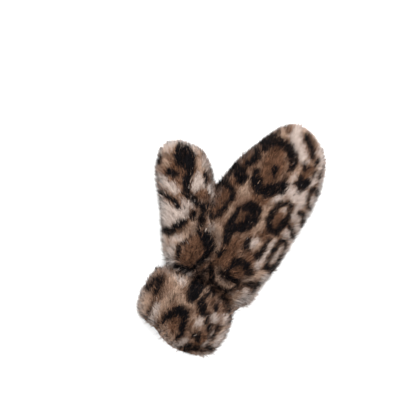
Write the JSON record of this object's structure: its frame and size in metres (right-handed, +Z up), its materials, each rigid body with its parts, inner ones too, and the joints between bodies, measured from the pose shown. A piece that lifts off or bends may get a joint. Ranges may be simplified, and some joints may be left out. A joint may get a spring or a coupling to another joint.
{
  "type": "fur mitten",
  "caption": "Leopard-print faux fur mitten with a rounded hand, a set-in thumb, a gathered wrist and a short fur cuff, lying palm up and open at the cuff.",
  "frame": {"origin": "middle of the outline, on the surface that the mitten lies on", "axes": "+Y along the hand towards the fingertips, +Z up out of the palm, the thumb towards -X"},
  "size_m": [0.178, 0.276, 0.0533],
  "materials": {
    "fur": "matt short plush pile with a leopard print"
  },
  "bodies": {
    "root": {"back_panel": "fur", "palm_panel": "fur", "thumb": "fur", "cuff": "fur"}
  },
  "joints": []
}
